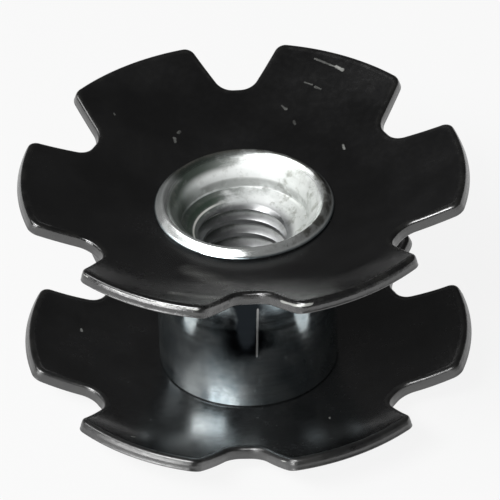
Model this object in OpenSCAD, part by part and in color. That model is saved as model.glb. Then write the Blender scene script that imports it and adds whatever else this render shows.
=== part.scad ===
// Star nut for a threadless steerer tube: a threaded sleeve that holds two dished spring stars.
// The origin is on the axis, at the level that the nut rests on, and +Z points to the upper star.

/* [Stars] */
// Diameter across the petals, on the middle of the sheet
star_d = 26.4; // [22:0.1:32]
// Number of petals on each star
petals = 6; // [4:1:7]
// Thickness of the spring sheet
sheet_t = 0.75; // [0.5:0.05:1]
// Width of the flat seat outside the barrel and the flared lip, before the dish starts
seat_margin = 0.16; // [0.1:0.02:0.6]
// Slope of the upper star where it leaves its seat, in degrees
upper_start = 11.5; // [0:0.1:15]
// Slope of the upper star at the rim, in degrees
upper_rim = 25.2; // [20:0.1:35]
// Slope of the lower star where it leaves its seat, in degrees
lower_start = 0.7; // [0:0.1:15]
// Slope of the lower star at the rim, in degrees
lower_rim = 29.2; // [20:0.1:35]
// Turn of the upper star about the axis, in degrees
upper_turn = 1.2; // [-30:0.1:30]
// Turn of the lower star about the axis, in degrees
lower_turn = -2.1; // [-30:0.1:30]

/* [Slots] */
// Length of each slot, inwards from the rim
slot_depth = 3.07; // [2:0.05:4]
// Width across the floor of a slot, before its corners are rounded
slot_floor_w = 1.76; // [1.4:0.02:2.4]
// Width of a slot at its mouth
slot_mouth_w = 5.28; // [4:0.02:6.4]
// Radius between the floor and the sides of a slot
slot_r = 1.2; // [0.4:0.05:1.5]
// Radius on the corners of the petals
petal_r = 0.7; // [0.2:0.05:1]

/* [Nut] */
// Length of the barrel, which sets the stars apart
barrel_h = 10.2; // [7:0.1:16]
// Width of the barrel's shoulder that each star sits on, outside the shank
shoulder_w = 0.81; // [0.5:0.01:2]
// Chamfer on the two edges of the barrel
edge_break = 0.1; // [0.05:0.01:0.2]
// Diameter of the counterbore at each end
counterbore_d = 7.6; // [6.2:0.05:9.5]
// Depth of the counterbore below the shoulder that the star sits on
counterbore_h = 0.6; // [0.2:0.1:2]
// Radius of the bend inside the flare, between the counterbore and the funnel
throat_r = 1.2; // [0.2:0.1:1.3]
// Included angle of the cone at the floor of the counterbore, in degrees
drill_angle = 118; // [90:1:140]
// Diameter inside the thread, which is the tapping hole
thread_d = 5; // [4.2:0.1:6]

/* [Flared shank] */
// Wall of the thin shank that passes through each star
shank_wall = 0.73; // [0.5:0.01:1]
// Length of straight shank between the shoulder and the flare
flare_start = 0.05; // [0.02:0.01:0.3]
// Slope of the flare away from the axis, in degrees
flare_angle = 45; // [30:1:50]
// Height of the flared edge over the face of its star
lip_rise = 0.1; // [0.02:0.01:0.3]
// Width of the flat that the press leaves on top of the lip
lip_land = 0.12; // [0.06:0.01:0.2]

/* [Hidden] */
$fn = 96;
// Flat strips that each dish, and the bend inside each flare, is turned from
dish_steps = 12;
throat_steps = 5;
// Length of the slot cutters past the rim, and their height across the sheet
cut_past = 2;
cut_h = 6 * sheet_t;
// How far the round cutters cross the straight cuts that they blend, so that no sliver is left
slot_cross = 0.01;
corner_cross = 0.02;

star_r = star_d / 2;
slot_floor_r = star_r - slot_depth;
counterbore_r = counterbore_d / 2;
shank_r = counterbore_r + shank_wall;
barrel_r = shank_r + shoulder_w;
thread_r = thread_d / 2;

// Heights from the middle of the barrel, which is the middle of the nut
shoulder = barrel_h / 2;
flare_foot = shoulder + flare_start;
lip_edge = shoulder + sheet_t + lip_rise;
lip_edge_r = shank_r + (lip_edge - flare_foot) * tan(flare_angle);
lip_peak = lip_edge + shank_wall * sin(flare_angle);
lip_peak_r = lip_edge_r - shank_wall * cos(flare_angle);
land_drop = lip_land / (tan(flare_angle) + 1 / tan(flare_angle));
lip_top = lip_peak - land_drop;
land_inner_r = lip_peak_r - land_drop * tan(flare_angle);
funnel_foot = lip_top - (land_inner_r - counterbore_r) / tan(flare_angle);
counterbore_floor = shoulder - counterbore_h;
thread_top = counterbore_floor - (counterbore_r - thread_r) / tan(drill_angle / 2);
// The bend inside the flare keeps to the wall between the funnel and the counterbore's floor
bend_r = min(throat_r, 0.9 * (funnel_foot - counterbore_floor) / tan(flare_angle / 2));
bend_foot = funnel_foot - bend_r * tan(flare_angle / 2);

// Height of the middle of the nut over the level that its lower lip rests on
nut_mid = lip_top;
// Distance from the axis at which the sheets leave their flat seats
seat_r = max(barrel_r, lip_edge_r) + seat_margin;

// Radius of the arc that the middle of a sheet follows from its seat to its rim
function dish_r(start, rim) = (star_r - seat_r) / (sin(rim) - sin(start));

// Slope of a dish at the distance r from the axis
function dish_slope(start, rim, r) = asin(sin(start) + (r - seat_r) / dish_r(start, rim));

// Height of the middle of the sheet over the hub, where its slope is a
function dish_z(start, rim, a) = dish_r(start, rim) * (cos(start) - cos(a));

// Outline of one face of a dish from the seat to the rim, for the upper (1) or the lower (-1) face
function dish_face(start, rim, side) = concat(
    [[seat_r - side * sheet_t / 2 * tan(start / 2), side * sheet_t / 2]],
    [for (i = [1:dish_steps])
        let (a = start + (rim - start) * i / dish_steps,
             r = seat_r + dish_r(start, rim) * (sin(a) - sin(start)))
        [r - side * sheet_t / 2 * sin(a), dish_z(start, rim, a) + side * sheet_t / 2 * cos(a)]]
);

// The list in the opposite order
function reversed(list) = [for (i = [len(list) - 1:-1:0]) list[i]];

// Edge of the hub's hole, countersunk by the flare on the upper (1) or the lower (-1) face
function hub_edge(side) =
    let (edge = [
        [shank_r, -sheet_t / 2],
        [shank_r, -sheet_t / 2 + flare_start],
        [lip_edge_r - lip_rise * tan(flare_angle), sheet_t / 2]
    ])
    side > 0 ? reversed(edge) : [for (p = edge) [p[0], -p[1]]];

// Distance along a sheet with the slope tilt from the floor of a slot to its mouth
function slot_reach(tilt) =
    (sqrt(star_r * star_r - slot_mouth_w * slot_mouth_w / 4) - slot_floor_r) / cos(tilt);

// Angle between the floor and the side of a slot on that sheet
function slot_side(tilt) = atan2(slot_reach(tilt), (slot_mouth_w - slot_floor_w) / 2);

// Plan of a slot on that sheet, from the middle of its floor outwards along +Y
module slot_plan(tilt) {
    side = slot_side(tilt);
    floor_r = min(slot_r, slot_floor_w / 2 / tan(side / 2));
    bend = floor_r * tan(side / 2);
    flat = slot_floor_w / 2 - bend;
    mouth_y = slot_reach(tilt) + cut_past;
    mouth_x = slot_floor_w / 2 + mouth_y / tan(side);
    bend_x = slot_floor_w / 2 + bend * cos(side);
    bend_y = bend * sin(side);
    polygon([
        [-flat, 0], [flat, 0], [bend_x, bend_y], [mouth_x, mouth_y],
        [-mouth_x, mouth_y], [-bend_x, bend_y]
    ]);
    for (x = [-flat, flat])
        translate([x, floor_r])
            circle(floor_r + slot_cross);
}

// Waste outside the round corner between a petal's rim and a slot's side, for one side (1 or -1).
// The corner's centre lies petal_r inside the rim and petal_r from the side, which gives its turn.
module corner_waste(start, rim, hand) {
    tilt = dish_slope(start, rim, slot_floor_r);
    side = slot_side(tilt);
    centre_r = star_r - petal_r * cos(rim);
    rise = dish_z(start, rim, rim) - petal_r * sin(rim) - dish_z(start, rim, tilt);
    across = sin(side);
    along = cos(side) * cos(tilt);
    offset = petal_r + slot_floor_w / 2 * across
        + cos(side) * (rise * sin(tilt) - slot_floor_r * cos(tilt));
    turn = atan2(along, across) + asin(offset / centre_r / norm([across, along]));
    sweep = side + turn * cos(rim);
    far = 3 * petal_r;
    rotate([0, 0, -hand * turn])
        translate([0, star_r, dish_z(start, rim, rim)])
            rotate([rim, 0, 0])
                translate([0, -petal_r, 0])
                    linear_extrude(height = cut_h, center = true)
                        difference() {
                            polygon([
                                [0, 0], [0, far], [-hand * far, far],
                                [-hand * far * sin(sweep), far * cos(sweep)]
                            ]);
                            circle(petal_r + corner_cross);
                        }
}

// One dished star about its hub's middle, countersunk on the upper (1) or the lower (-1) face
module star(start, rim, turn, side) {
    floor_slope = dish_slope(start, rim, slot_floor_r);
    rotate([0, 0, turn])
        difference() {
            rotate_extrude()
                polygon(concat(
                    hub_edge(side),
                    dish_face(start, rim, -1),
                    reversed(dish_face(start, rim, 1))
                ));
            for (i = [0:petals - 1])
                rotate([0, 0, i * 360 / petals]) {
                    translate([0, slot_floor_r, dish_z(start, rim, floor_slope)])
                        rotate([floor_slope, 0, 0])
                            linear_extrude(height = cut_h, center = true)
                                slot_plan(floor_slope);
                    corner_waste(start, rim, 1);
                    corner_waste(start, rim, -1);
                }
        }
}

// Upper star, pressed down on the barrel's upper shoulder
module upper_star() {
    color([0.07, 0.07, 0.07])
        translate([0, 0, nut_mid + shoulder + sheet_t / 2])
            star(upper_start, upper_rim, upper_turn, 1);
}

// Lower star, dished the same way but held from below
module lower_star() {
    color([0.07, 0.07, 0.07])
        translate([0, 0, nut_mid - shoulder - sheet_t / 2])
            star(lower_start, lower_rim, lower_turn, -1);
}

// Threaded sleeve: barrel, tapping hole, and a counterbored shank flared over the star at each end
module nut() {
    throat = [for (i = [throat_steps:-1:0])
        let (a = flare_angle * i / throat_steps)
        [counterbore_r + bend_r * (1 - cos(a)), bend_foot + bend_r * sin(a)]];
    upper_half = concat([
        [barrel_r, shoulder - edge_break],
        [barrel_r - edge_break, shoulder],
        [shank_r, shoulder],
        [shank_r, flare_foot],
        [lip_edge_r, lip_edge],
        [lip_peak_r + land_drop / tan(flare_angle), lip_top],
        [land_inner_r, lip_top]
    ], throat, [
        [counterbore_r, counterbore_floor],
        [thread_r, thread_top]
    ]);
    lower_half = [for (p = reversed(upper_half)) [p[0], -p[1]]];
    color([0.78, 0.8, 0.8])
        translate([0, 0, nut_mid])
            rotate_extrude()
                polygon(concat(upper_half, lower_half));
}

upper_star();
lower_star();
nut();
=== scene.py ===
"""Star nut on a plain pale floor: two black spring-steel stars swaged on a plated, threaded sleeve."""

import math
from functools import reduce

import bmesh
import bpy
import numpy as np
from mathutils import Matrix, Vector

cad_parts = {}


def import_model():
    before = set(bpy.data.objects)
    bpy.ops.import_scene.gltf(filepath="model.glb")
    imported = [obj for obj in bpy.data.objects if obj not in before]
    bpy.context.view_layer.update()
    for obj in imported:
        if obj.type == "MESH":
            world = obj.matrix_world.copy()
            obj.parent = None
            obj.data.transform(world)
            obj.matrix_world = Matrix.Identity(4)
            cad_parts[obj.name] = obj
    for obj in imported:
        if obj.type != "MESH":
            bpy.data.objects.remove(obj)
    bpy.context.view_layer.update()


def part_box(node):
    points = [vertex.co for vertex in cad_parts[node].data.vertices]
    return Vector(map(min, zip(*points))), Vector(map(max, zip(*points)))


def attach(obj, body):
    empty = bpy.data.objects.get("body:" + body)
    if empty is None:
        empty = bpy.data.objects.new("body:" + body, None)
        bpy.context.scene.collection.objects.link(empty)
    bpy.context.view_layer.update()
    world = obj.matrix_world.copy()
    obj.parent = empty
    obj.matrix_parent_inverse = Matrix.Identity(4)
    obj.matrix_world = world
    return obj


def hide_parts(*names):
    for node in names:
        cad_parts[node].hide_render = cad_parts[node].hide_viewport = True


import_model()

MM = 0.001
NUT_LOW, NUT_HIGH = (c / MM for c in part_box("nut"))
NUT_MID = (NUT_LOW.z + NUT_HIGH.z) / 2

# Lengths are in millimetres and angles in degrees, unless a line says otherwise.

# Stars, measured on the middle of the sheet
STAR_R = 13.195
PETALS = 6
SHEET_T = 0.75
SEAT_R = 5.5
SEAT_BLEND = 0.35
SLOT_DEPTH = 3.07
SLOT_FLOOR_W = 1.76
SLOT_MOUTH_W = 5.28
SLOT_R = 1.2
PETAL_R = 0.7
STARS = {
    "upper_star": {"start": 11.5, "rim": 25.2, "turn": 1.2, "flare_side": 1},
    "lower_star": {"start": 0.7, "rim": 29.2, "turn": -2.1, "flare_side": -1},
}
EDGE_ROLL = 0.22
EDGE_BURR = 0.05

# The cut wall's burr: where it starts and where it steps out, as shares of the sheet's thickness, then the
# step, as a share of the burr
BURR_FROM = 0.62
BURR_AT = 0.68
BURR_STEP = 0.3

# How far in from the outline each face's last ring lies, in rolls or burrs
UPPER_INSET = 1.7
LOWER_INSET = 3

# How finely a star's outline and faces are cut, and how often a point is moved onto its surface
FLOOR_STEPS = 2
ROUND_STEPS = 12
SIDE_STEPS = 9
RIM_STEPS = 14
ROLL_STEPS = 6
FACE_RINGS = 30
DROP_ROUNDS = 6

# Wear and painted highlights on a cut edge: a line below its rolled corner, then stretches of the rim as two
# azimuths and a strength, set mostly on the front left, where the rim catches the lamps
WEAR_GLINT_DEPTH = 0.24
WEAR_GLINT_WIDTH = 0.13
WEAR_GLINT_FADE = 1.0
WEAR_GLINT_ELSEWHERE = 0.1
RUBBED_GLINTS = {
    "upper_star": ((234, 259, 1.0), (195, 205, 0.6), (222, 230, 0.8), (335, 341, 0.6), (280, 286, 1.9)),
    "lower_star": ((235, 258, 0.7), (331, 337, 0.6), (266, 273, 0.6), (278, 280, 1.2)),
}

# Marks on the upper faces: start and end as radius and azimuth, half width, and how much steel shows through
# the coat
MARKS = {
    "upper_star": (
        ((12.36, 68.5), (12.15, 61), 0.06, 0.55),
        ((12.18, 61.8), (12.11, 59.4), 0.12, 1.0),
        ((10.75, 69), (10.7, 66.3), 0.06, 0.3),
        ((10.6, 65), (10.55, 63), 0.08, 0.25),
        ((8.95, 74.2), (8.75, 72.2), 0.1, 0.45),
        ((8.0, 67), (7.85, 66), 0.1, 0.25),
        ((7.75, 39.4), (7.6, 37.2), 0.08, 0.6),
        ((7.45, 122.6), (7.2, 123.6), 0.12, 0.3),
        ((7.75, 118.5), (7.7, 119.3), 0.1, 0.2),
        ((10.7, 135.2), (10.6, 135.4), 0.08, 0.25),
    ),
    "lower_star": (
        ((10.16, 170.2), (10.1, 171), 0.1, 0.4),
        ((11.78, 233.5), (11.7, 233.9), 0.09, 0.8),
        ((8.41, 303.5), (8.3, 303.9), 0.07, 0.5),
        ((10.55, 323.2), (10.6, 322.6), 0.12, 0.6),
    ),
}

# Painted sheen: soft bands laid out as the marks are, that stand in for a reflection on the upper faces
SHEEN_BANDS = {
    "upper_star": (((7.4, 245), (9.0, 263), 1.1, 0.17), ((11.3, 248), (11.2, 264), 0.5, 0.3)),
    "lower_star": (),
}

# How much duller the cut edges are than the faces
EDGE_DULL = {"upper_star": 0.04, "lower_star": 0.13}

# Sleeve. The softs are how far the edges of the lip and of the thread are rounded.
BARREL_R = 5.34
BARREL_H = 10.2
EDGE_BREAK = 0.1
SHANK_R = 4.53
SHANK_WALL = 0.73
COUNTERBORE_R = 3.8
COUNTERBORE_H = 0.6
THROAT_R = 1.2
DRILL_ANGLE = 118
FLARE_START = 0.05
LIP_RISE = 0.1
LIP_LAND = 0.12
LIP_SOFT = 0.035
FLARE_ANGLE = 45
THROAT_STEPS = 8
PROFILE_STEP = 0.35
MINOR_R = 2.5
MAJOR_R = 3.0
PITCH = 1.0
FLANK_ANGLE = 30
THREAD_SOFT = 0.03
THREAD_PHASE = 0.42
AROUND = 288
WELD = 1e-4

# Edges over this angle stay sharp
SHARP_ANGLE = 32

# Painted light on the barrel's front, seen straight on: a line of painted reflection and an area of painted
# shade, each as start and end in x, y and z, then half width
REFLECTION_STREAK = ((0.46, 0, 5.1), (0.6, 0, 8.6), 0.08)
REFLECTION_STREAK_LEVEL = 0.4
FRONT_SHADE_AREA = ((0.0, 0, 6.3), (-0.3, 0, 9.8), 1.9)

# Zones of the sleeve by radius: where the mask is 0, then where it is 1
BORE = (4.7, 4.3)
THREAD = (3.1, 2.6)
INSIDE = (5.2, 5.1)
BARREL = (5.2, 5.3)
LIP = (4.6, 4.8)

# Rings of the bore by radius: a zone that rises, then one that falls
CLEAN_WALL = ((3.7, 3.78), (4.25, 3.9))
# Painted shade in the counterbore's corner
CORNER_SHADE_RING = ((3.73, 3.77), (3.82, 3.79))
# Painted shade: a dark green ring on the bore's left, outside the thread's mouth
LEFT_SHADE_RING = ((3.12, 3.22), (3.52, 3.36))
# A painted highlight on the thread's mouth, on the left
MOUTH_HIGHLIGHT_RING = ((2.97, 3.01), (3.13, 3.07))

# The way to the side of the lip that faces the key lamp, which is left free of painted shade
LAMP_SIDE = (-0.64, -0.77, 0)

# Noise patterns: scale for metres, detail and roughness
PATCHES = (260, 3)
GRAIN = (2600, 4, 0.6)
DASHES = (900, 4, 0.65)
BRUSHED = (1500, 3)
LINES = (4200, 3, 0.6)
BROKEN = (2600, 4, 0.6)
CLOUD = (420, 4, 0.6)
SPECK = (1500, 4, 0.7)

# How the coat reflects
COAT_IOR = 1.62
COAT_SPECULAR = 1.0

# Colours, linear: the darkest and lightest of each finish, then what lies on it and the painted shade and
# highlights
COAT = ((0.0025, 0.0025, 0.0026, 1), (0.006, 0.006, 0.0062, 1))
CUT_COAT = (0.014, 0.014, 0.013, 1)
BARE_STEEL_AND_GLINT = (0.6, 0.61, 0.58, 1)
BORE_ZINC = ((0.7, 0.73, 0.72, 1), (0.86, 0.88, 0.87, 1))
BARREL_ZINC = ((0.35, 0.42, 0.45, 1), (0.64, 0.7, 0.71, 1))
# Stain, and painted shade on the bore's left and on the lip away from the key lamp
STAIN_AND_SHADE = (0.05, 0.07, 0.055, 1)
MOTTLE = (0.3, 0.31, 0.28, 1)
TONED_ZINC = (0.4, 0.42, 0.38, 1)
# Painted shade on the lip away from the key lamp
LIP_SHADE = (0.2, 0.2, 0.18, 1)
# Painted shade on the bore's left
LEFT_SHADE = (0.04, 0.065, 0.045, 1)
# Painted highlight on the thread's mouth
MOUTH_HIGHLIGHT = (0.9, 0.9, 0.86, 1)
# Painted shade in the counterbore's corner
CORNER_SHADE = (0.1, 0.11, 0.1, 1)
DARK_THREAD = (0.2, 0.2, 0.21, 1)
# Painted shade on the barrel's front
FRONT_SHADE = (0.012, 0.015, 0.018, 1)
# A painted reflection on the barrel's front
REFLECTION_STREAK_ZINC = (0.8, 0.8, 0.79, 1)

# Camera: how the object is framed. The clip distances are in metres.
ELEVATION = 37.615
ROLL = 1.868
DISTANCE = 434.8
LENS = 526.8
SENSOR = 36
CLIP = (0.01, 20)
AIM_OVER_MID = 0.485
FRAME_RIGHT = 0.205
FRAME_UP = 1.646

# Lamps: name, azimuth, elevation, half width, half height, level. The distance is in metres.
LAMP_DISTANCE = 0.5
LAMPS = (
    ("key", -40, 47, 14, 7, 5.5),
    ("window", -48, 53, 42, 9, 0.9),
    ("low", -50, 13, 19, 6, 3.0),
    ("left", -96, 40, 20, 9, 0.38),
    ("low left", -108, 25, 12, 8, 0.15),
)

# Floor, and the low wall that ends it in level views, in metres, then how much of both shows plain white
FLOOR_R = 1.2
WALL_H = 0.075
FLOOR_SIDES = 96
FLOOR_DROP = 0.00001
FLOOR_COLOUR = (0.6, 0.6, 0.6, 1)
BACKGROUND_GLOW = 0.88
WORLD_LIGHT = 0.05


def rad(degrees):
    return degrees * math.pi / 180


def link(name, bm):
    """A bmesh as a piece of the object, given in millimetres."""
    bmesh.ops.scale(bm, vec=(MM, MM, MM), verts=bm.verts)
    bmesh.ops.recalc_face_normals(bm, faces=bm.faces)
    for face in bm.faces:
        face.smooth = True
    for edge in bm.edges:
        edge.smooth = edge.calc_face_angle(0) < rad(SHARP_ANGLE)
    mesh = bpy.data.meshes.new(name)
    bm.to_mesh(mesh)
    bm.free()
    piece = bpy.data.objects.new(name, mesh)
    bpy.context.scene.collection.objects.link(piece)
    return piece


# ---------------------------------------------------------------- stars


class Dish:
    """The middle surface of a star: a flat hub, then an arc that steepens to the rim."""

    def __init__(self, start, rim):
        self.start = math.sin(rad(start))
        self.rim = rad(rim)
        self.bend_r = (STAR_R - SEAT_R) / (math.sin(self.rim) - self.start)

    def arc_slope(self, r):
        return math.asin(self.start + (r - SEAT_R) / self.bend_r)

    def arc_height(self, r):
        return self.bend_r * (math.cos(math.asin(self.start)) - math.cos(self.arc_slope(r)))

    def slope(self, r):
        along = r - SEAT_R + SEAT_BLEND
        if along <= 0:
            return 0.0
        if along < 2 * SEAT_BLEND:
            return math.atan(math.tan(self.arc_slope(SEAT_R + SEAT_BLEND)) * along / (2 * SEAT_BLEND))
        return self.arc_slope(r)

    def height(self, r):
        along = r - SEAT_R + SEAT_BLEND
        if along <= 0:
            return 0.0
        if along < 2 * SEAT_BLEND:
            return self.arc_height(SEAT_R + SEAT_BLEND) * (along / (2 * SEAT_BLEND)) ** 2
        return self.arc_height(r)

    def drop_on(self, point, normal):
        """The point moved along that normal until it lies on the middle surface."""
        for _ in range(DROP_ROUNDS):
            gap = self.arc_height(math.hypot(point.x, point.y)) - point.z
            point = point + normal * gap * normal.z
        return point


def half_slot(dish):
    """Plan points from the middle of a slot's floor, on +Y, to the middle of the petal beside it."""
    floor_r = STAR_R - SLOT_DEPTH
    tilt = dish.arc_slope(floor_r)
    reach = (math.sqrt(STAR_R**2 - SLOT_MOUTH_W**2 / 4) - floor_r) / math.cos(tilt)
    side = math.atan2(reach, (SLOT_MOUTH_W - SLOT_FLOOR_W) / 2)
    flat = SLOT_FLOOR_W / 2 - SLOT_R * math.tan(side / 2)
    normal = Vector((0, -math.sin(tilt), math.cos(tilt)))
    foot = Vector((0, floor_r, dish.arc_height(floor_r)))

    def on_slot(x, v):
        flat_point = foot + Vector((x, v * math.cos(tilt), v * math.sin(tilt)))
        return dish.drop_on(flat_point, normal)

    points = [on_slot(flat * k / FLOOR_STEPS, 0) for k in range(FLOOR_STEPS + 1)]
    for k in range(1, ROUND_STEPS + 1):
        a = side * k / ROUND_STEPS
        points.append(on_slot(flat + SLOT_R * math.sin(a), SLOT_R * (1 - math.cos(a))))

    centre_r = STAR_R - PETAL_R * math.cos(dish.rim)
    rise = dish.arc_height(STAR_R) - PETAL_R * math.sin(dish.rim) - foot.z
    across, along = math.sin(side), math.cos(side) * math.cos(tilt)
    offset = PETAL_R + SLOT_FLOOR_W / 2 * across
    offset += math.cos(side) * (rise * math.sin(tilt) - floor_r * math.cos(tilt))
    turn = math.atan2(along, across) + math.asin(offset / centre_r / math.hypot(across, along))
    sweep = side + turn * math.cos(dish.rim)
    rim_normal = Vector((0, -math.sin(dish.rim), math.cos(dish.rim)))
    corner = []
    for k in range(ROUND_STEPS, -1, -1):
        a = math.pi / 2 + sweep * k / ROUND_STEPS
        q = PETAL_R * (math.sin(a) - 1)
        p = Vector((PETAL_R * math.cos(a), STAR_R + q * math.cos(dish.rim), 0))
        p.z = dish.arc_height(STAR_R) + q * math.sin(dish.rim)
        corner.append(Matrix.Rotation(-turn, 3, "Z") @ dish.drop_on(p, rim_normal))
    start = points[-1]
    points += [start.lerp(corner[0], k / SIDE_STEPS) for k in range(1, SIDE_STEPS)]
    points += corner
    half = math.pi / PETALS
    for k in range(1, RIM_STEPS + 1):
        a = turn + (half - turn) * k / RIM_STEPS
        points.append(Vector((STAR_R * math.sin(a), STAR_R * math.cos(a), 0)))
    return [Vector((p.x, p.y)) for p in points]


def outline(dish):
    """Closed plan outline of a star and its inward normals."""
    half = half_slot(dish)
    one = [Vector((-p.x, p.y)) for p in reversed(half[1:])] + half[:-1]
    points = []
    for k in range(PETALS):
        turned = Matrix.Rotation(-2 * math.pi * k / PETALS, 2)
        points += [turned @ p for p in one]
    points = np.array([tuple(p) for p in points])
    along = np.roll(points, -1, 0) - np.roll(points, 1, 0)
    along /= np.linalg.norm(along, axis=1)[:, None]
    inward = np.stack([along[:, 1], -along[:, 0]], 1)
    if (inward * points).sum() > 0:
        inward = -inward
    return points, inward


def star(name, start, rim, turn, flare_side):
    """A star as one closed sheet, with rolled upper edges, cut walls and a faint burr below."""
    half = SHEET_T / 2
    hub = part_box(name)[0].z / MM + half
    dish = Dish(start, rim)
    edge, inward = outline(dish)
    unit = edge / np.linalg.norm(edge, axis=1)[:, None]
    foot = SHANK_R + (SHEET_T - FLARE_START)
    hole = [(SHANK_R, -half), (SHANK_R, -half + FLARE_START), (foot, half)]
    if flare_side < 0:
        hole = [(r, -z) for r, z in reversed(hole)]
    turns = [rad(90 * k / ROLL_STEPS) for k in range(ROLL_STEPS + 1)]
    wall = [(EDGE_ROLL * (1 - math.sin(a)), half - EDGE_ROLL * (1 - math.cos(a))) for a in turns]
    wall += [(0, half - WEAR_GLINT_DEPTH - WEAR_GLINT_WIDTH * k / 2) for k in range(1, 3)]
    wall += [
        (0, half - SHEET_T * BURR_FROM),
        (EDGE_BURR * BURR_STEP, half - SHEET_T * BURR_AT),
        (EDGE_BURR * BURR_STEP, -half + EDGE_BURR),
        (EDGE_BURR, -half),
    ]
    bm = bmesh.new()
    cut = bm.verts.layers.float.new("edge")
    # Wear and painted highlight along the rim, kept on the vertices
    rubbed_glint = bm.verts.layers.float.new("rub_glint")
    upper = bm.verts.layers.float.new("upper")
    spin = Matrix.Rotation(rad(turn), 2)

    def rubbing_glint(x, y):
        """How much a place on the rim carries wear and painted highlight, from its azimuth."""
        azimuth = math.degrees(math.atan2(y, x)) % 360
        found = WEAR_GLINT_ELSEWHERE
        for first, last, level in RUBBED_GLINTS[name]:
            inside = min(azimuth - first, last - azimuth) / WEAR_GLINT_FADE
            found = max(found, level * min(1, max(0, inside + 1)))
        return found

    def ring(plan, height, on_edge):
        """A loop of points over a plan, at a height from the middle of the sheet."""
        made = []
        for x, y in plan:
            r = math.hypot(x, y)
            a = dish.slope(r)
            out = Vector((x, y)) / r
            place = spin @ (out * (r - height * math.sin(a)))
            vert = bm.verts.new((place.x, place.y, hub + dish.height(r) + height * math.cos(a)))
            vert[cut] = on_edge
            vert[upper] = float(height > 0) * (1 - on_edge)
            depth = (half - height - WEAR_GLINT_DEPTH) / WEAR_GLINT_WIDTH
            vert[rubbed_glint] = on_edge * rubbing_glint(place.x, place.y) * max(0, 1 - abs(depth))
            made.append(vert)
        return made

    def skin(inner_r, inset, height):
        """Rings of one face, from the hole to the inset outline."""
        target = edge + inward * inset
        steps = [k / FACE_RINGS for k in range(FACE_RINGS + 1)]
        return [ring(unit * inner_r * (1 - t) + target * t, height, 0.0) for t in steps]

    loops = skin(hole[-1][0], wall[0][0] * UPPER_INSET, half)
    loops += [ring(edge + inward * d, z, 1.0) for d, z in wall]
    loops += list(reversed(skin(hole[0][0], wall[-1][0] * LOWER_INSET, -half)))
    loops += [ring(unit * r, z, 0.0) for r, z in hole[1:-1]]
    for a, b in zip(loops, loops[1:] + loops[:1]):
        for k in range(len(edge)):
            bm.faces.new((a[k - 1], a[k], b[k], b[k - 1]))
    piece = link(name + "_sheet", bm)
    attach(piece, "root")
    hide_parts(name)
    return piece


# ---------------------------------------------------------------- sleeve


def lip_profile():
    """Outer and inner outline of the upper end, from the shoulder over the lip to the counterbore floor."""
    shoulder = BARREL_H / 2
    foot = shoulder + FLARE_START
    edge = shoulder + SHEET_T + LIP_RISE
    edge_r = SHANK_R + edge - foot
    slant = SHANK_WALL * math.sin(rad(FLARE_ANGLE))
    drop = LIP_LAND / 2
    crown = edge + slant - drop
    crown_r = edge_r - slant
    bore_foot = crown - (crown_r - drop - COUNTERBORE_R)
    bend_foot = bore_foot - THROAT_R * math.tan(rad(FLARE_ANGLE / 2))
    turns = [rad(FLARE_ANGLE * k / THROAT_STEPS) for k in range(THROAT_STEPS, -1, -1)]
    bend_r = COUNTERBORE_R + THROAT_R
    throat = [(bend_r - THROAT_R * math.cos(a), bend_foot + THROAT_R * math.sin(a)) for a in turns]
    soft = LIP_SOFT
    return [
        (BARREL_R, shoulder - EDGE_BREAK - soft),
        (BARREL_R - soft * 0.3, shoulder - EDGE_BREAK + soft * 0.3),
        (BARREL_R - EDGE_BREAK, shoulder),
        (SHANK_R, shoulder),
        (SHANK_R, foot),
        (edge_r - soft * 2, edge - soft * 2),
        (edge_r - soft * 0.5, edge - soft * 0.5),
        (edge_r - soft * 0.5, edge + soft * 0.5),
        (edge_r - soft * 2, edge + soft * 2),
        (crown_r + drop * 2, crown - drop),
        (crown_r + drop, crown - drop * 0.15),
        (crown_r, crown),
        (crown_r - drop * 0.6, crown - drop * 0.05),
        (crown_r - drop * 1.6, crown - drop * 0.6),
        *throat,
        (COUNTERBORE_R, shoulder - COUNTERBORE_H + soft),
        (COUNTERBORE_R - soft, shoulder - COUNTERBORE_H - soft * 0.6),
    ]


def subdivided(points, step):
    """The outline with no gap over step."""
    out = [points[0]]
    for a, b in zip(points, points[1:]):
        count = max(1, math.ceil(math.dist(a, b) / step))
        for k in range(1, count + 1):
            out.append(tuple(p + (q - p) * k / count for p, q in zip(a, b)))
    return out


def thread_rows():
    """Height within one pitch and radius of each row of the internal thread, from crest to crest."""
    lean = math.tan(rad(FLANK_ANGLE))
    root = PITCH / 8
    flank = (MAJOR_R - MINOR_R) * lean
    crest = PITCH - root - 2 * flank
    soft = THREAD_SOFT
    rise = soft / lean * 0.6
    middle_r = (MINOR_R + MAJOR_R) / 2
    return [
        (0, MINOR_R + rise),
        (soft, MINOR_R),
        (crest - soft, MINOR_R),
        (crest, MINOR_R + rise),
        (crest + flank / 2, middle_r),
        (crest + flank - soft, MAJOR_R - rise),
        (crest + flank + soft, MAJOR_R),
        (crest + flank + root - soft, MAJOR_R),
        (crest + flank + root + soft, MAJOR_R - rise),
        (PITCH - flank / 2, middle_r),
    ]


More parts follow.
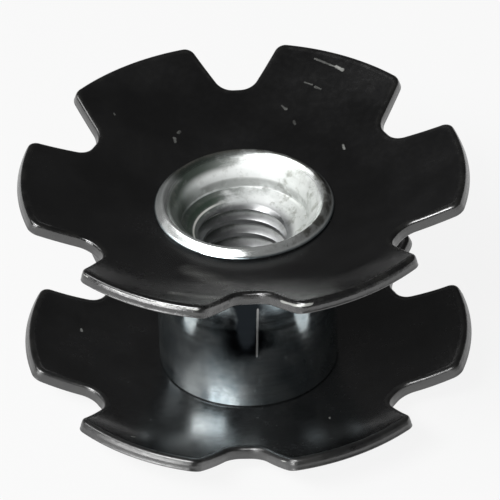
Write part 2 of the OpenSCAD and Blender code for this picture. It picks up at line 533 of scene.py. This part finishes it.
def sleeve():
    """The sleeve as one closed skin: turned outside, flared lips, counterbores and a cut thread."""
    upper = subdivided(lip_profile(), PROFILE_STEP)
    mouth_r, mouth = upper[-1]
    lower = [(r, -z) for r, z in reversed(upper)]
    outside = lower + upper
    bm = bmesh.new()
    angles = [2 * math.pi * k / AROUND for k in range(AROUND)]

    def vertex(r, z, a):
        return bm.verts.new((r * math.cos(a), r * math.sin(a), NUT_MID + z))

    loops = [[vertex(r, z, a) for a in angles] for r, z in outside]
    for a, b in zip(loops, loops[1:]):
        for k in range(AROUND):
            bm.faces.new((a[k - 1], a[k], b[k], b[k - 1]))
    rows = thread_rows()
    fall = math.tan(rad(DRILL_ANGLE / 2))
    low_turn = math.floor((-mouth - PITCH) / PITCH) - 1
    high_turn = math.ceil(mouth / PITCH) + 1
    levels = [(t * PITCH + s, r) for t in range(low_turn, high_turn) for s, r in rows]
    grid = []
    for level, thread_r in levels:
        line = []
        for a in angles:
            z = level + PITCH * (a / (2 * math.pi) + THREAD_PHASE)
            z = max(-mouth, min(mouth, z))
            r = max(thread_r, mouth_r - (mouth - abs(z)) * fall)
            line.append(vertex(r, z, a))
        grid.append(line)
    for i in range(len(grid) - len(rows) - 1):
        low, high = grid[i], grid[i + 1]
        for k in range(AROUND - 1):
            bm.faces.new((low[k], low[k + 1], high[k + 1], high[k]))
        turned = i + len(rows)
        bm.faces.new((low[-1], grid[turned][0], grid[turned + 1][0], high[-1]))
    bmesh.ops.delete(bm, geom=[v for v in bm.verts if not v.link_faces], context="VERTS")
    bmesh.ops.remove_doubles(bm, verts=bm.verts, dist=WELD)
    bmesh.ops.dissolve_degenerate(bm, dist=WELD, edges=bm.edges)
    piece = link("threaded_sleeve", bm)
    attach(piece, "root")
    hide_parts("nut")
    return piece


# ---------------------------------------------------------------- materials


class Nodes:
    """A material's node tree with short calls."""

    def __init__(self, name):
        self.material = bpy.data.materials.new(name)
        self.material.use_nodes = True
        self.tree = self.material.node_tree
        self.tree.nodes.clear()
        self.place = self.add("ShaderNodeTexCoord").outputs["Object"]
        self.plan = self.vector("MULTIPLY", self.place, (1, 1, 0))

    def add(self, kind, **values):
        node = self.tree.nodes.new(kind)
        for key, value in values.items():
            setattr(node, key, value)
        return node

    def put(self, value, socket):
        if isinstance(value, bpy.types.NodeSocket):
            self.tree.links.new(value, socket)
        else:
            socket.default_value = value

    def attribute(self, name):
        return self.add("ShaderNodeAttribute", attribute_name=name).outputs["Fac"]

    def math(self, operation, a, b=0.0, clamp=False):
        node = self.add("ShaderNodeMath", operation=operation, use_clamp=clamp)
        self.put(a, node.inputs[0])
        self.put(b, node.inputs[1])
        return node.outputs[0]

    def plus(self, *values):
        return reduce(lambda a, b: self.math("ADD", a, b), values)

    def times(self, *values):
        return reduce(lambda a, b: self.math("MULTIPLY", a, b), values)

    def most(self, *values):
        return reduce(lambda a, b: self.math("MAXIMUM", a, b), values)

    def less(self, a, b):
        """a without b, from 0 to 1."""
        return self.math("SUBTRACT", a, b, clamp=True)

    def vector(self, operation, a, b=(0, 0, 0)):
        node = self.add("ShaderNodeVectorMath", operation=operation)
        self.put(a, node.inputs[0])
        self.put(b, node.inputs[1])
        return node.outputs["Value" if operation in ("LENGTH", "DOT_PRODUCT") else "Vector"]

    def noise(self, where, scale, detail, rough=0.5):
        node = self.add("ShaderNodeTexNoise")
        self.put(where, node.inputs["Vector"])
        node.inputs["Scale"].default_value = scale
        node.inputs["Detail"].default_value = detail
        node.inputs["Roughness"].default_value = rough
        return node.outputs["Fac"]

    def ramp(self, value, low, high, to_low=0.0, to_high=1.0):
        node = self.add("ShaderNodeMapRange", interpolation_type="SMOOTHSTEP")
        for v, socket in zip((value, low, high, to_low, to_high), node.inputs):
            self.put(v, socket)
        return node.outputs["Result"]

    def zone(self, length, low, high, to_low=0.0, to_high=1.0):
        """As ramp, for a length in the scene between two in millimetres."""
        return self.ramp(length, low * MM, high * MM, to_low, to_high)

    def mix(self, factor, a, b):
        node = self.add("ShaderNodeMix", data_type="RGBA")
        self.put(factor, node.inputs[0])
        self.put(a, node.inputs[6])
        self.put(b, node.inputs[7])
        return node.outputs[2]

    def stroke(self, where, start, end, width, ragged, core):
        """A mask that is 1 along a line between two points in mm, over that part of its half width."""
        a, b = Vector(start) * MM, Vector(end) * MM
        run = b - a
        away = self.vector("SUBTRACT", where, a)
        along = self.math("DIVIDE", self.vector("DOT_PRODUCT", away, run), run.length_squared, clamp=True)
        off = self.vector("LENGTH", self.vector("SUBTRACT", away, self.vector("MULTIPLY", along, run)))
        ragged = self.times(self.math("SUBTRACT", ragged, 0.5), width * MM * 2)
        return self.zone(self.plus(off, ragged), width, width * core)

    def shader(self, bump, **sockets):
        """The material, with bumps given as height, strength and distance in millimetres."""
        node = self.add("ShaderNodeBsdfPrincipled")
        for key, value in sockets.items():
            self.put(value, node.inputs[key.replace("_", " ")])
        normal = None
        for height, strength, depth in bump:
            one = self.add("ShaderNodeBump")
            self.put(height, one.inputs["Height"])
            one.inputs["Strength"].default_value = strength
            one.inputs["Distance"].default_value = depth * MM
            if normal:
                self.put(normal, one.inputs["Normal"])
            normal = one.outputs["Normal"]
        self.put(normal, node.inputs["Normal"])
        return self.show(node)

    def blend_shaders(self, factor, a, b):
        node = self.add("ShaderNodeMixShader")
        self.put(factor, node.inputs[0])
        self.put(a.outputs[0], node.inputs[1])
        self.put(b.outputs[0], node.inputs[2])
        return node

    def show(self, node):
        out = self.add("ShaderNodeOutputMaterial")
        self.put(node.outputs[0], out.inputs["Surface"])
        return self.material


def on_star(place):
    """A point on the plan, from its radius and azimuth."""
    r, azimuth = place
    return (r * math.cos(rad(azimuth)), r * math.sin(rad(azimuth)), 0)


def spring_steel(name):
    """Black coat over spring steel, with steel showing along the cut edges and at each star's own marks, with
    painted highlights on the cut edges and soft bands of painted sheen.
    """
    n = Nodes(name + "_coat")
    rub_glint, edge, face = (n.attribute(one) for one in ("rub_glint", "edge", "upper"))
    patches, grain, dashes = (n.noise(n.place, *one) for one in (PATCHES, GRAIN, DASHES))
    brushed = n.noise(n.vector("MULTIPLY", n.place, (0.3, 1, 0.3)), *BRUSHED)

    # Steel showing where the rim has wear, set mostly where the rim catches the lamps and so partly painted
    # highlight; then the marks and the bands of painted sheen
    bare_and_glint = n.times(n.ramp(n.plus(n.times(rub_glint, 0.6), dashes), 0.92, 1.04), n.ramp(rub_glint, 0.0, 0.12))
    broken = n.ramp(dashes, 0.4, 0.6, 0.3, 1.0)
    for start, end, width, level in MARKS[name]:
        mark = n.stroke(n.plan, on_star(start), on_star(end), width, grain, 0.5)
        bare_and_glint = n.most(bare_and_glint, n.times(mark, broken, level, face))
    streaky = n.ramp(brushed, 0.3, 0.7, 0.35, 1.0)
    # Painted sheen: soft bands of steel colour that stand in for a reflection
    for start, end, width, level in SHEEN_BANDS[name]:
        mark = n.stroke(n.plan, on_star(start), on_star(end), width, 0.5, 0.0)
        bare_and_glint = n.most(bare_and_glint, n.times(mark, streaky, level, face))

    coat = n.mix(n.ramp(patches, 0.3, 0.7), *COAT)
    coat = n.mix(n.times(edge, n.ramp(dashes, 0.4, 0.7)), coat, CUT_COAT)
    rough = n.plus(
        n.ramp(grain, 0.3, 0.7, 0.14, 0.22),
        n.ramp(patches, 0.35, 0.7, 0.0, 0.07),
        n.times(bare_and_glint, 0.2),
        n.times(edge, EDGE_DULL[name]),
    )
    return n.shader(
        Base_Color=n.mix(bare_and_glint, coat, BARE_STEEL_AND_GLINT),
        Metallic=n.times(bare_and_glint, 0.85),
        Roughness=rough,
        IOR=COAT_IOR,
        Specular_IOR_Level=COAT_SPECULAR,
        bump=((grain, 0.08, 0.02), (patches, 0.1, 0.1), (n.times(dashes, edge), 0.35, 0.08)),
    )


def zinc():
    """Plated steel: a smooth barrel, a rougher turned bore, a darker thread, painted shade in the corner, and
    more painted shade and highlights in the bore and on the barrel's front.
    """
    n = Nodes("zinc_plated_steel")
    split = n.add("ShaderNodeSeparateXYZ")
    n.put(n.place, split.inputs[0])
    x, y, z = split.outputs
    radius = n.vector("LENGTH", n.plan)
    turned = n.add("ShaderNodeCombineXYZ")
    n.put(radius, turned.inputs["X"])
    n.put(z, turned.inputs["Z"])
    lines = n.noise(turned.outputs[0], *LINES)
    broken = n.noise(n.vector("MULTIPLY", n.place, (0.15, 0.15, 1)), *BROKEN)
    cloud, speck = (n.noise(n.place, *one) for one in (CLOUD, SPECK))
    clouds = n.ramp(cloud, 0.35, 0.7)

    bore, thread, inside, barrel = (n.zone(radius, *one) for one in (BORE, THREAD, INSIDE, BARREL))
    left = n.zone(x, -0.8, -2.2)
    front = n.zone(y, -2.0, -3.5)
    side = n.vector("MULTIPLY", n.place, (1, 0, 1))

    def ring(rise, fall):
        return n.times(n.zone(radius, *rise), n.zone(radius, *fall))

    # The bore: stained, with painted shade on its left; mottled and greyer on the right. The lip stays pale
    # on its front left, toward the key lamp, and has painted shade on its other sides
    colour = n.mix(clouds, *BORE_ZINC)
    lamp_facing = n.zone(n.vector("DOT_PRODUCT", n.plan, LAMP_SIDE), 0.2, 1.6)
    away_from_lamp = n.times(inside, n.less(1.0, lamp_facing))
    clean = n.times(ring(*CLEAN_WALL), n.zone(y, 1.0, 3.0))
    # Staining, made heavier on the bore's left as painted shade, and laid on the lip away from the key lamp
    # as painted shade
    stains_and_shade = n.plus(n.times(broken, 0.7), n.times(speck, 0.4), n.zone(x, 0.5, -3.2, 0.0, 0.34))
    stains_and_shade = n.times(n.ramp(stains_and_shade, 0.5, 0.78), n.most(bore, away_from_lamp), n.less(1.0, clean))
    colour = n.mix(n.times(stains_and_shade, n.zone(x, 1.2, -2.8, 0.45, 0.95)), colour, STAIN_AND_SHADE)
    mottle = n.times(n.ramp(speck, 0.5, 0.66), n.zone(x, 0.5, 3.0, 0.25, 0.85))
    colour = n.mix(n.times(mottle, inside), colour, MOTTLE)
    colour = n.mix(n.times(bore, n.zone(x, 1.0, 3.5, 0.0, 0.35)), colour, TONED_ZINC)
    # Painted shade on the lip away from the key lamp
    lip_shade = n.times(n.zone(radius, *LIP), away_from_lamp, n.ramp(speck, 0.42, 0.56, 0.45, 0.95))
    colour = n.mix(lip_shade, colour, LIP_SHADE)
    # Painted shade in a ring on the bore's left
    colour = n.mix(n.times(ring(*LEFT_SHADE_RING), left, 0.8), colour, LEFT_SHADE)
    # A painted highlight on the thread's mouth, on the left
    colour = n.mix(n.times(ring(*MOUTH_HIGHLIGHT_RING), left), colour, MOUTH_HIGHLIGHT)
    # Painted shade in the counterbore's corner
    colour = n.mix(n.times(ring(*CORNER_SHADE_RING), n.ramp(cloud, 0.4, 0.6), 0.7), colour, CORNER_SHADE)
    # The thread is darker than the rest of the bore
    colour = n.mix(n.times(thread, 0.75), colour, DARK_THREAD)

    # The barrel, with an area of painted shade and a line of painted reflection on its front
    colour = n.mix(barrel, colour, n.mix(clouds, *BARREL_ZINC))
    front_shade = n.stroke(side, *FRONT_SHADE_AREA, n.ramp(cloud, 0.3, 0.7, 0.4, 0.6), 0.3)
    colour = n.mix(n.times(front_shade, front), colour, FRONT_SHADE)
    reflection_streak = n.times(n.stroke(side, *REFLECTION_STREAK, 0.5, 0.5), REFLECTION_STREAK_LEVEL, front)
    colour = n.mix(reflection_streak, colour, REFLECTION_STREAK_ZINC)

    rough = n.ramp(n.plus(lines, n.times(cloud, 0.5)), 0.5, 1.0, 0.0, 0.1)
    rough = n.plus(rough, n.ramp(bore, 0.0, 1.0, 0.1, 0.32))
    metal = n.ramp(barrel, 0.0, 1.0, n.ramp(bore, 0.0, 1.0, 0.8, 0.4), 0.97)
    metal = n.most(metal, n.times(thread, 0.9))
    metal = n.less(n.less(metal, n.times(clean, 0.4)), reflection_streak)
    return n.shader(
        Base_Color=colour,
        Metallic=metal,
        Roughness=rough,
        bump=(
            (lines, 0.08, 0.02),
            (broken, 0.08, 0.02),
            (n.times(speck, bore), 0.3, 0.03),
            (n.times(cloud, barrel), 0.25, 0.06),
        ),
    )


# ---------------------------------------------------------------- stage


def floor():
    """A pale floor and its low wall, which show as white straight on, in metal and through glass.

    The camera sees through them from below, so that the object's underside shows.
    """
    bm = bmesh.new()
    turns = [2 * math.pi * k / FLOOR_SIDES for k in range(FLOOR_SIDES)]
    rim = [Vector((FLOOR_R * math.cos(a), FLOOR_R * math.sin(a), 0)) for a in turns]
    foot = [bm.verts.new(p) for p in rim]
    brim = [bm.verts.new(p + Vector((0, 0, WALL_H))) for p in rim]
    bm.faces.new(foot)
    for k in range(FLOOR_SIDES):
        bm.faces.new((foot[k], foot[k - 1], brim[k - 1], brim[k]))
    mesh = bpy.data.meshes.new("floor")
    bm.to_mesh(mesh)
    bm.free()
    plane = bpy.data.objects.new("floor", mesh)
    plane.location.z = -FLOOR_DROP
    bpy.context.scene.collection.objects.link(plane)
    n = Nodes("floor")
    path = n.add("ShaderNodeLightPath").outputs
    seen = n.plus(path["Is Camera Ray"], path["Is Transmission Ray"])
    seen = n.math("ADD", seen, path["Is Glossy Ray"], clamp=True)
    diffuse = n.add("ShaderNodeBsdfDiffuse")
    diffuse.inputs["Color"].default_value = FLOOR_COLOUR
    glow = n.add("ShaderNodeEmission")
    pale = n.blend_shaders(n.times(seen, BACKGROUND_GLOW), diffuse, glow)
    from_below = n.times(n.add("ShaderNodeNewGeometry").outputs["Backfacing"], path["Is Camera Ray"])
    mesh.materials.append(n.show(n.blend_shaders(from_below, pale, n.add("ShaderNodeBsdfTransparent"))))


def world():
    """A dim, even sky."""
    made = bpy.data.worlds.new("studio")
    bpy.context.scene.world = made
    made.use_nodes = True
    back = made.node_tree.nodes["Background"]
    back.inputs["Color"].default_value = (1, 1, 1, 1)
    back.inputs["Strength"].default_value = WORLD_LIGHT


def lamp(name, azimuth, elevation, wide, high, level):
    """A soft panel that faces the object, wide and high in degrees to each side of its middle.

    Azimuth 0 is in front and grows to the right.
    """
    data = bpy.data.lights.new(name, "AREA")
    data.shape = "RECTANGLE"
    data.size = 2 * LAMP_DISTANCE * math.tan(rad(wide))
    data.size_y = 2 * LAMP_DISTANCE * math.tan(rad(high))
    data.energy = level * math.pi**2 * data.size * data.size_y
    thing = bpy.data.objects.new(name, data)
    a, e = rad(azimuth), rad(elevation)
    away = Vector((math.sin(a) * math.cos(e), -math.cos(a) * math.cos(e), math.sin(e)))
    thing.location = away * LAMP_DISTANCE + Vector((0, 0, NUT_MID * MM))
    thing.rotation_euler = away.to_track_quat("Z", "Y").to_euler()
    bpy.context.scene.collection.objects.link(thing)


def camera():
    """The photo's view, turned a little aside, because the object isn't in the middle of the picture."""
    e = rad(ELEVATION)
    back = Vector((0, -math.cos(e), math.sin(e)))
    aim = Vector((0, 0, NUT_MID + AIM_OVER_MID))
    place = aim + back * DISTANCE
    up = Matrix.Rotation(-rad(ROLL), 3, back) @ Vector((0, math.sin(e), math.cos(e)))
    right = up.cross(back)
    look = aim + right * FRAME_RIGHT + up * FRAME_UP
    z = (place - look).normalized()
    x = up.cross(z).normalized()
    data = bpy.data.cameras.new("camera")
    data.lens = LENS
    data.sensor_width = SENSOR
    data.clip_start, data.clip_end = CLIP
    thing = bpy.data.objects.new("camera", data)
    axes = Matrix((x, z.cross(x), z)).transposed()
    thing.matrix_world = Matrix.Translation(place * MM) @ axes.to_4x4()
    bpy.context.scene.collection.objects.link(thing)
    bpy.context.scene.camera = thing


camera()
for name, form in STARS.items():
    star(name, **form).data.materials.append(spring_steel(name))
sleeve().data.materials.append(zinc())
floor()
world()
for panel in LAMPS:
    lamp(*panel)
bpy.context.scene.view_settings.view_transform = "Standard"
